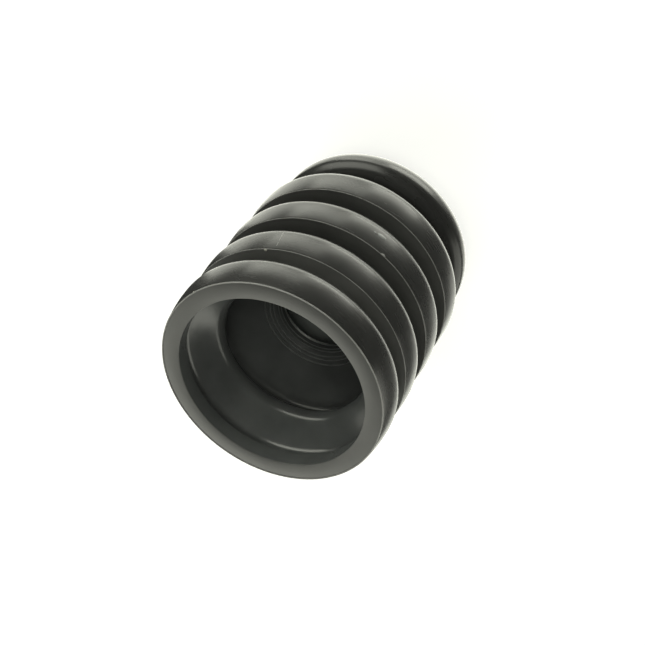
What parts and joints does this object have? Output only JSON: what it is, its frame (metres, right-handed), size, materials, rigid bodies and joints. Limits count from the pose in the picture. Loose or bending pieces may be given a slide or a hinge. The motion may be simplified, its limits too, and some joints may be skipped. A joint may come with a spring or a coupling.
{
  "type": "rubber bellows boot",
  "caption": "Round moulded rubber bellows boot with deep folds, a wide lipped mouth and a small rod collar at its far end.",
  "frame": {"origin": "middle of the flat end of the rod collar, which the boot stands on", "axes": "+Z runs along the boot's axis from the rod collar to the wide mouth; the boot is round about it, so X and Y are alike"},
  "size_m": [0.05, 0.05, 0.068],
  "materials": {
    "rubber": "semi-gloss moulded black rubber, with a matte mouth face"
  },
  "bodies": {
    "root": {"bellows_boot": "rubber"}
  },
  "joints": []
}
